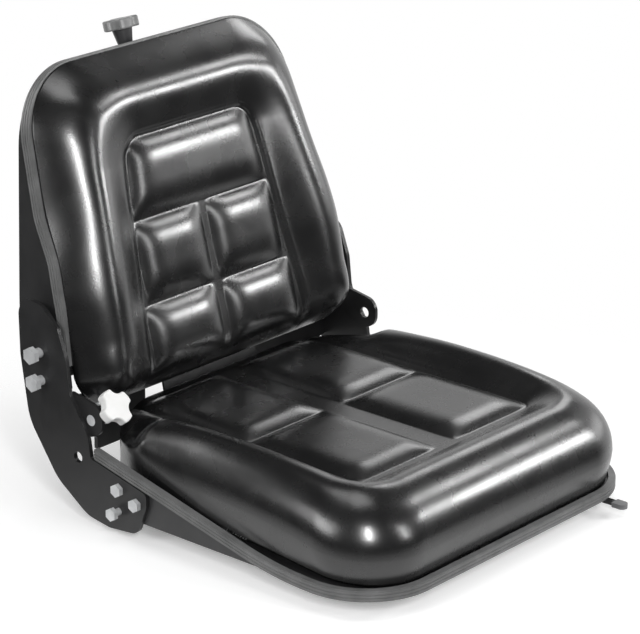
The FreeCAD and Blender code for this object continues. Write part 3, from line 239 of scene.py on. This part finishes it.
def cushion_mesh(name, corners, radii, splits, edge, height, side, place):
    """A cushion as one closed mesh: a gridded top, a rounded edge ring, a side wall and an underside.

    height(x, y, inset) gives the top's height. side(x, y, top, t) gives how far out the wall lies and
    its height, a part t of the way down. place turns flat points and heights into the row frame.
    """
    n = PER_SIDE
    total = 4 * n
    loop, facing = cushion_loop(corners, radii, splits)
    inner_radii = [max(radius - edge, LEAST_R) for radius in radii]
    inner, _ = cushion_loop(inset_corners(corners, edge), inner_radii, splits)

    grid = filled_grid(inner)
    top = place(*grid.T, height(*grid.T, np.full(len(grid), edge)))
    rings = []
    for r in range(1, EDGE_RINGS + 1):
        part = r / EDGE_RINGS
        inset = edge * (1 - 0.5 * part - 0.5 * math.sin(math.pi / 2 * part))
        points = loop + (inner - loop) * (inset / edge)
        rim = height(*points.T, np.full(total, inset))
        rings.append(place(*points.T, rim))
    for r in range(1, WALL_ROWS + 1):
        shift, heights = side(*loop.T, rim, r / WALL_ROWS)
        points = loop - facing * shift[:, None]
        rings.append(place(*points.T, heights))

    row = n + 1
    faces = [(a, a + 1, a + row + 1, a + row) for j in range(n) for a in range(j * row, j * row + n)]
    # the grid's border, in the loop's order
    previous = list(range(n)) + [k * row + n for k in range(n)]
    previous += [n * row + n - i for i in range(n)] + [(n - k) * row for k in range(n)]
    for r in range(len(rings)):
        first = len(grid) + r * total
        current = range(first, first + total)
        for i in range(total):
            k = (i + 1) % total
            faces.append((previous[k], previous[i], current[i], current[k]))
        previous = current

    # underside: strips between matching points of the left and right halves
    lowest = [previous[(n + n // 2 + i) % total] for i in range(total)]
    half = total // 2
    faces.append((lowest[1], lowest[0], lowest[-1]))
    for i in range(1, half - 1):
        faces.append((lowest[i + 1], lowest[i], lowest[-i], lowest[-i - 1]))
    faces.append((lowest[half], lowest[half - 1], lowest[1 - half]))

    mesh = bpy.data.meshes.new(name)
    mesh.from_pydata(np.concatenate([top] + rings).tolist(), [], faces)
    mesh.update()
    for polygon in mesh.polygons:
        polygon.use_smooth = True
    return link(name, mesh)


# Seat cushion: x across, y from the front to the rear, z up
SEAT_HALF = 230.0
SEAT_REAR_HALF = 212.0
SEAT_FRONT = 5.0
SEAT_REAR = 427.0
SEAT_FRONT_R = 80.0
SEAT_REAR_R = 100.0
SEAT_EDGE = 60.0
SEAT_LINE = [(-20, 95), (11, 97), (37, 97), (64, 99), (91, 104), (119, 109), (175, 114),
             (245, 117), (291, 116), (320, 112), (350, 107), (410, 95), (440, 90)]
SEAT_PANEL_HALF = 147.0
SEAT_PANEL_FRONT = 86.0
SEAT_PANEL_R = 22.0
SEAT_BOLSTER = (44.0, 8.0)
SEAT_FLOOR = 84.0
SEAT_PADS = [(14.0, 144.0, 98.0, 254.0), (14.0, 144.0, 256.0, 414.0)]
# How far the edge rolls down at the front, at the rear corners and at the middle of the rear
SEAT_DROP = 58.0
SEAT_SIDE_DROP = 20.0
SEAT_REAR_DROP = 2.0
SEAT_DROP_Y = (270.0, 390.0)
SEAT_DROP_X = (110.0, 190.0)
# The rear corners stay low under the tilt knob, and the rear edge turns up
CORNER_LOWER = 10.0
CORNER_Y = (335.0, 360.0)
CORNER_X = (160.0, 192.0)
REAR_RISE = 3.0
REAR_RISE_Y = (385.0, 427.0)
# The underside follows the seat plate, which is hinged at the front
HINGE_Y = 45.0
HINGE_Z = 7.5
PLATE_SLOPE = 0.09
PLATE_GAP = 1.8
UNDERSIDE_LOW = 6.2
# The base trim's top line and inside, which the cushion's wall tucks into
TRIM_TOP = [(0, 7.5), (134, 7.5), (394, 67.8), (440, 67.8)]
TRIM_CLEAR = 2.0
TRIM_INNER_HALF = 219.5
TRIM_INNER_FRONT = 10.5
TRIM_INNER_R = 74.0
SPRING_TRAVEL = 0.08
TUCK_CURVE = 1.5


def seat_height(x, y, inset):
    out = rounded_gap(x, y, SEAT_PANEL_HALF, SEAT_PANEL_FRONT, OPEN_END, SEAT_PANEL_R)
    past_side = np.maximum(np.abs(x) - SEAT_PANEL_HALF + SEAT_PANEL_R, 0)
    past_front = np.maximum(SEAT_PANEL_FRONT + SEAT_PANEL_R - y, 0)
    dome = curve_through(SEAT_LINE, y)
    top = panelled_top(out, past_side, past_front, dome, SEAT_FLOOR, SEAT_BOLSTER)
    top = paired_pads(x, y, top, SEAT_PADS)
    top = top - CORNER_LOWER * smooth(*CORNER_Y, y) * smooth(*CORNER_X, np.abs(x))
    top = top + REAR_RISE * smooth(*REAR_RISE_Y, y)
    rounding = np.sqrt(np.clip(1 - (1 - np.clip(inset / SEAT_EDGE, 0, 1)) ** 2, 0, 1))
    rear_drop = SEAT_REAR_DROP + (SEAT_SIDE_DROP - SEAT_REAR_DROP) * smooth(*SEAT_DROP_X, np.abs(x))
    drop = SEAT_DROP + (rear_drop - SEAT_DROP) * smooth(*SEAT_DROP_Y, y)
    return top - drop * (1 - rounding)


def seat_wall(x, y, top, t):
    """The wall comes in over the trim, so that it goes down inside it when the seat springs."""
    low = np.maximum(UNDERSIDE_LOW, HINGE_Z + PLATE_SLOPE * (y - HINGE_Y) + PLATE_GAP)
    heights = top + (low - top) * t
    inside = np.interp(y, *zip(*TRIM_TOP)) + TRIM_CLEAR + SPRING_TRAVEL * np.maximum(y - HINGE_Y, 0)
    reach = np.clip((top - heights) / np.maximum(top - inside, 1.0), 0, 1) ** TUCK_CURVE
    gap = rounded_gap(x, y, TRIM_INNER_HALF, TRIM_INNER_FRONT, OPEN_END, TRIM_INNER_R)
    return -np.maximum(gap, 0) * reach, heights


def seat_place(x, y, z):
    return np.stack([x, y + SEAT_Y, z + SEAT_Z], 1) / MM


seat_corners = [(-SEAT_HALF, SEAT_FRONT), (SEAT_HALF, SEAT_FRONT),
                (SEAT_REAR_HALF, SEAT_REAR), (-SEAT_REAR_HALF, SEAT_REAR)]
seat_radii = [SEAT_FRONT_R, SEAT_FRONT_R, SEAT_REAR_R, SEAT_REAR_R]
seat_cover = cushion_mesh("seat_cushion_cover", seat_corners, seat_radii, (0, 1, 2, 3), SEAT_EDGE,
                          seat_height, seat_wall, seat_place)
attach(seat_cover, "seat_plate")
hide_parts("seat_cushion")

# Back cushion, in the backrest's own axes: x across, v up and w forward
BACK_HALF = 216.0
BACK_TOP_HALF = 192.0
BACK_TAPER_V = 68.0
BACK_TAPER_R = 300.0
BACK_TOP = 313.5
BACK_LOW = -53.0
BACK_LOW_R = 42.0
BACK_CORNER_R = 79.0
BACK_RING = 66.0
BACK_LOW_RING = 40.0
BACK_RING_V = (-40.0, 20.0)
BACK_ROUNDING = 2.5
BACK_LINE = [(-80, 37), (-45, 41), (20, 47), (70, 49), (140, 47), (200, 43), (260, 37), (310, 30),
             (340, 26)]
BACK_PANEL = [(-80, 131), (-8, 126), (35, 121), (100, 113), (180, 107), (208, 102), (260, 96)]
BACK_PANEL_TOP = 221.0
BACK_PANEL_R = 26.0
BACK_BOLSTER = (60.0, 12.0)
BACK_FLOOR = [(-60, 15), (60, 17), (215, 22), (330, 24)]
BACK_TOP_PAD = [(107.0, 130.0), (96.0, 218.0)]
BACK_PADS = [(4.0, 110.0, 39.0, 128.0), (5.0, 117.0, -44.0, 36.0)]
# The trim's line, how far the edge lies over it, and the wall that goes down inside it
BACK_RIM = [(-80, -27.4), (62, 0), (112, 0), (160, -11), (340, -11)]
BACK_RIM_WIDTH = 6
BACK_OVER_TRIM = 6.6
BACK_WALL_STEP = 3.0
BACK_WALL_LOW = -10.6
BACK_WALL_LEAST = 2.6
STEP_PART = 0.25


def back_height(x, v, inset):
    half = curve_through(BACK_PANEL, v)
    out = rounded_gap(x, v, half, -OPEN_END, BACK_PANEL_TOP, BACK_PANEL_R)
    past_side = np.maximum(np.abs(x) - half + BACK_PANEL_R, 0)
    past_top = np.maximum(v - BACK_PANEL_TOP + BACK_PANEL_R, 0)
    dome = curve_through(BACK_LINE, v)
    hollow = curve_through(BACK_FLOOR, v)
    top = panelled_top(out, past_side, past_top, dome, hollow, BACK_BOLSTER)
    (low_half, low_v), (high_half, high_v) = BACK_TOP_PAD
    pad_half = np.interp(v, [low_v, high_v], [low_half, high_half])
    top = top + pillow(x, v, -pad_half, pad_half, low_v, high_v)
    top = paired_pads(x, v, top, BACK_PADS)
    ring = BACK_LOW_RING + (BACK_RING - BACK_LOW_RING) * smooth(*BACK_RING_V, v)
    over_trim = curve_through(BACK_RIM, v, width=BACK_RIM_WIDTH) + BACK_OVER_TRIM
    base = np.maximum(over_trim, BACK_WALL_LOW + BACK_WALL_LEAST)
    return base + (top - base) * (1 - (1 - np.clip(inset / ring, 0, 1)) ** BACK_ROUNDING)


def back_wall(x, v, top, t):
    """The wall steps in over the trim and then goes down inside it."""
    step = -BACK_WALL_STEP * min(t / STEP_PART, 1.0)
    down = max((t - STEP_PART) / (1 - STEP_PART), 0.0)
    return np.full(len(x), step), top + (BACK_WALL_LOW - top) * down


def back_place(x, v, w):
    flat = BACK_ORIGIN + x[:, None] * ACROSS + v[:, None] * BACK_UP
    return (flat + w[:, None] * BACK_FORWARD) / MM


back_corners = [(-BACK_HALF, BACK_LOW), (BACK_HALF, BACK_LOW), (BACK_HALF, BACK_TAPER_V),
                (BACK_TOP_HALF, BACK_TOP), (-BACK_TOP_HALF, BACK_TOP), (-BACK_HALF, BACK_TAPER_V)]
back_radii = [BACK_LOW_R, BACK_LOW_R, BACK_TAPER_R, BACK_CORNER_R, BACK_CORNER_R, BACK_TAPER_R]
back_cover = cushion_mesh("back_cushion_cover", back_corners, back_radii, (0, 1, 3, 4), BACK_RING,
                          back_height, back_wall, back_place)
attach(back_cover, "backrest")
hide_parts("back_cushion")


# Materials
def new_material(name):
    material = bpy.data.materials.new(name)
    material.use_nodes = True
    return material, material.node_tree, material.node_tree.nodes["Principled BSDF"]


def add(tree, kind, **values):
    """A new node, with each value set on the input or else the property of that name."""
    node = tree.nodes.new(kind)
    for key, value in values.items():
        if key in node.inputs:
            node.inputs[key].default_value = value
        else:
            setattr(node, key, value)
    return node


def ramp(tree, factor, stops, target):
    """Colours along a factor, linked to the target socket."""
    node = add(tree, "ShaderNodeValToRGB")
    for element, (place, colour) in zip(node.color_ramp.elements, stops):
        element.position = place
        element.color = (*colour, 1.0)
    tree.links.new(factor, node.inputs["Fac"])
    tree.links.new(node.outputs["Color"], target)


def grey(value):
    return (value, value, value)


def object_coords(tree):
    return add(tree, "ShaderNodeTexCoord").outputs["Object"]


def noise(tree, scale, detail=3.0):
    node = add(tree, "ShaderNodeTexNoise", Scale=scale, Detail=detail, Roughness=0.5)
    tree.links.new(object_coords(tree), node.inputs["Vector"])
    return node.outputs["Fac"]


def bump(tree, height, strength, distance, target):
    node = add(tree, "ShaderNodeBump", Strength=strength, Distance=distance)
    tree.links.new(height, node.inputs["Height"])
    tree.links.new(node.outputs["Normal"], target)
    return node


def vinyl():
    """Glossy black vinyl: a patchy sheen, a cell grain and a finer grain over it."""
    material, tree, shader = new_material("vinyl_look")
    shader.inputs["Specular IOR Level"].default_value = 1.0
    tones = [(0.3, (0.003, 0.003, 0.0032)), (0.7, (0.006, 0.006, 0.0062))]
    ramp(tree, noise(tree, 9.0), tones, shader.inputs["Base Color"])
    wear = [(0.3, grey(0.24)), (0.7, grey(0.30))]
    ramp(tree, noise(tree, 26.0, 4.0), wear, shader.inputs["Roughness"])
    cells = add(tree, "ShaderNodeTexVoronoi", Scale=620.0, feature="SMOOTH_F1")
    tree.links.new(object_coords(tree), cells.inputs["Vector"])
    fine = bump(tree, noise(tree, 1500.0, 2.0), 0.05, 0.0002, shader.inputs["Normal"])
    bump(tree, cells.outputs["Distance"], 0.10, 0.0004, fine.inputs["Normal"])
    return material


# Each kind of surface: the tone's noise scale, detail and first stop, the wear's noise scale and how
# far roughness goes down and up, the grain's noise scale, detail, strength and depth, and metallic
KINDS = {
    "paint": ((14.0, 5.0, 0.35), (45.0, 0.05, 0.07), (700.0, 2.0, 0.06, 0.0003), 0.0),
    "metal": ((60.0, 5.0, 0.3), (180.0, 0.06, 0.08), (900.0, 3.0, 0.05, 0.0002), 0.35),
    "plastic": ((40.0, 4.0, 0.3), (120.0, 0.05, 0.06), (900.0, 2.0, 0.08, 0.0003), 0.0),
}
# Each slot: the kind of surface, its dark and light tones, and its roughness
LOOKS = {
    "black_paint": ("paint", (0.009, 0.009, 0.0094), (0.017, 0.017, 0.0176), 0.38),
    "pan_paint": ("paint", (0.022, 0.022, 0.023), (0.038, 0.038, 0.039), 0.40),
    "trim": ("plastic", (0.11, 0.111, 0.111), (0.18, 0.181, 0.181), 0.46),
    "zinc": ("metal", (0.58, 0.59, 0.60), (0.78, 0.79, 0.80), 0.40),
    "knob_pale": ("plastic", (0.76, 0.76, 0.75), (0.86, 0.86, 0.85), 0.36),
    "knob_grey": ("plastic", (0.16, 0.162, 0.162), (0.25, 0.252, 0.252), 0.36),
    "knob_dark": ("plastic", (0.02, 0.02, 0.021), (0.04, 0.04, 0.042), 0.45),
    "grip": ("plastic", (0.13, 0.13, 0.135), (0.22, 0.22, 0.225), 0.5),
    "nylon": ("plastic", (0.66, 0.65, 0.61), (0.76, 0.75, 0.71), 0.4),
    "stop_rubber": ("plastic", (0.018, 0.018, 0.018), (0.035, 0.035, 0.035), 0.65),
    "board": ("plastic", (0.36, 0.25, 0.15), (0.52, 0.39, 0.26), 0.6),
}


def surface(name, kind, dark, light, rough):
    material, tree, shader = new_material(name)
    (scale, detail, first), (wear_scale, down, up), (grain, fineness, strength, depth), metallic = KINDS[kind]
    shader.inputs["Metallic"].default_value = metallic
    ramp(tree, noise(tree, scale, detail), [(first, dark), (0.7, light)], shader.inputs["Base Color"])
    wear = [(0.3, grey(rough - down)), (0.7, grey(rough + up))]
    ramp(tree, noise(tree, wear_scale, 4.0), wear, shader.inputs["Roughness"])
    bump(tree, noise(tree, grain, fineness), strength, depth, shader.inputs["Normal"])
    return material


looks = {slot: surface(slot + "_look", *look) for slot, look in LOOKS.items()}
looks["vinyl"] = vinyl()

for part in frame["record"]["subparts"]:
    node = frame["nodes"][part["node"]]
    node.data.materials.clear()
    node.data.materials.append(looks[part["material_slot"]])
for piece in (seat_cover, back_cover):
    piece.data.materials.append(looks["vinyl"])

# the shell's large flat panels shade flat up to their bevels
flat_panels = frame["nodes"]["back_shell"].modifiers.new("flat_panels", "WEIGHTED_NORMAL")
flat_panels.weight = 100


# Floor, light and camera
def maths(tree, operation, first, second):
    node = add(tree, "ShaderNodeMath", operation=operation)
    tree.links.new(first, node.inputs[0])
    tree.links.new(second, node.inputs[1])
    return node.outputs["Value"]


def fade_between(tree, value, low, high):
    """0 at low and 1 at high, with smooth ends."""
    limits = {"From Min": low, "From Max": high}
    node = add(tree, "ShaderNodeMapRange", interpolation_type="SMOOTHSTEP", **limits)
    tree.links.new(value, node.inputs["Value"])
    return node.outputs["Result"]


WHITE = (1, 1, 1, 1)
FLOOR_REACH = 3.0
FLOOR_Z = cad_box[0][2] - 0.0005
FLOOR_TONES = [(0.3, grey(0.94)), (0.7, grey(0.98))]
FLOOR_DULL = (0.3, 0.3, 0.3, 1)
FLOOR_LIFT = 0.25
FLOOR_FADE = [(0.28, grey(1.0)), (0.62, grey(0.0))]
# the sockets of a Mix node that mixes colours
MIX_A, MIX_B, MIX_RESULT = 6, 7, 2

floor_mesh = bpy.data.meshes.new("floor")
floor_corners = [(-FLOOR_REACH, -FLOOR_REACH, FLOOR_Z), (FLOOR_REACH, -FLOOR_REACH, FLOOR_Z),
                 (FLOOR_REACH, FLOOR_REACH, FLOOR_Z), (-FLOOR_REACH, FLOOR_REACH, FLOOR_Z)]
floor_mesh.from_pydata(floor_corners, [], [(0, 1, 2, 3)])
floor = link("floor", floor_mesh)
floor_look, tree, shader = new_material("floor_look")
shader.inputs["Roughness"].default_value = 0.9
# the floor is white to the camera and in reflections, and duller in the light that it throws back
rays = add(tree, "ShaderNodeLightPath").outputs
seen = maths(tree, "MAXIMUM", rays["Is Camera Ray"], rays["Is Glossy Ray"])
seen = maths(tree, "MAXIMUM", seen, rays["Is Transmission Ray"])
dull = add(tree, "ShaderNodeMix", data_type="RGBA")
dull.inputs[MIX_A].default_value = FLOOR_DULL
ramp(tree, noise(tree, 3.0), FLOOR_TONES, dull.inputs[MIX_B])
tree.links.new(seen, dull.inputs["Factor"])
tree.links.new(dull.outputs[MIX_RESULT], shader.inputs["Base Color"])
# a little white of its own, for those rays only, so that the lamps can stay at a plain level
lift = add(tree, "ShaderNodeMath", operation="MULTIPLY")
lift.inputs[1].default_value = FLOOR_LIFT
tree.links.new(seen, lift.inputs[0])
shader.inputs["Emission Color"].default_value = WHITE
tree.links.new(lift.outputs["Value"], shader.inputs["Emission Strength"])
# the floor fades out round the seat, so the white backdrop meets it without an edge
reach = add(tree, "ShaderNodeVectorMath", operation="LENGTH")
tree.links.new(object_coords(tree), reach.inputs[0])
ramp(tree, reach.outputs["Value"], FLOOR_FADE, shader.inputs["Alpha"])
floor.data.materials.append(floor_look)

# The backdrop is white to the camera and through glass, and in reflections behind and below the seat
world = bpy.data.worlds.new("studio")
bpy.context.scene.world = world
world.use_nodes = True
tree = world.node_tree
dim = tree.nodes["Background"]
dim.inputs["Color"].default_value = WHITE
dim.inputs["Strength"].default_value = 0.06
clear = add(tree, "ShaderNodeBackground", Color=WHITE, Strength=1.0)
parts = add(tree, "ShaderNodeSeparateXYZ")
tree.links.new(add(tree, "ShaderNodeTexCoord").outputs["Generated"], parts.inputs["Vector"])
behind = fade_between(tree, maths(tree, "ADD", parts.outputs["X"], parts.outputs["Y"]), 0.1, 0.8)
below = fade_between(tree, parts.outputs["Z"], 0.7, 0.35)
rays = add(tree, "ShaderNodeLightPath").outputs
glossy = maths(tree, "MULTIPLY", maths(tree, "MULTIPLY", behind, below), rays["Is Glossy Ray"])
direct = maths(tree, "MAXIMUM", rays["Is Camera Ray"], rays["Is Transmission Ray"])
mix = add(tree, "ShaderNodeMixShader")
tree.links.new(maths(tree, "MAXIMUM", glossy, direct), mix.inputs["Fac"])
tree.links.new(dim.outputs["Background"], mix.inputs[1])
tree.links.new(clear.outputs["Background"], mix.inputs[2])
tree.links.new(mix.outputs["Shader"], tree.nodes["World Output"].inputs["Surface"])

# Each lamp: its name, place, what it is turned to, width and height in metres, and watts
LAMPS = [
    ("left_front", (-1.47, -1.63, 1.2), (0, 0.15, 0.3), (0.2, 0.9), 34),
    ("middle_front", (0.38, -2.15, 0.95), (0, 0.15, 0.3), (0.25, 0.9), 9.5),
    ("right_front", (1.7, -1.42, 0.95), (0, 0, 0.2), (0.45, 0.35), 16),
    ("right_high", (1.6, -0.85, 1.65), (0, 0.1, 0.3), (0.4, 0.4), 7),
    ("right_low", (2.1, -0.75, 0.6), (0, 0.1, 0.35), (1.1, 0.6), 4),
    ("right_side", (1.7, 0.65, 1.45), (0, 0, 0.15), (0.6, 0.6), 5),
    ("left_side", (-2.05, 0.5, 1.05), (0, 0, 0.15), (1.1, 0.8), 17),
    ("rear", (-0.9, 2.1, 1.2), (0, 0.2, 0.25), (1.2, 1.0), 12),
    ("overhead", (-0.1, 0.05, 2.4), (0, 0, 0.1), (1.0, 1.0), 9),
]
for name, place, target, (width, height), power in LAMPS:
    data = bpy.data.lights.new(name, "AREA")
    data.shape = "RECTANGLE"
    data.size = width
    data.size_y = height
    data.energy = power
    light = link(name, data)
    light.location = place
    light.rotation_euler = (Vector(target) - Vector(place)).to_track_quat("-Z", "Y").to_euler()

# The camera stands where the photograph was taken from
CAMERA_PLACE = (-2.28867, -1.97557, 1.32245)
CAMERA_AZIMUTH = -48.7
CAMERA_ELEVATION = 20.1
view = bpy.data.cameras.new("photo_view")
view.sensor_width = 36.0
view.sensor_fit = "HORIZONTAL"
view.lens = 168.75
view.clip_end = 50.0
camera = link("photo_view", view)
camera.location = CAMERA_PLACE
camera.rotation_euler = (math.radians(90 - CAMERA_ELEVATION), 0.0, math.radians(CAMERA_AZIMUTH))
bpy.context.scene.camera = camera
bpy.context.scene.view_settings.view_transform = "Standard"
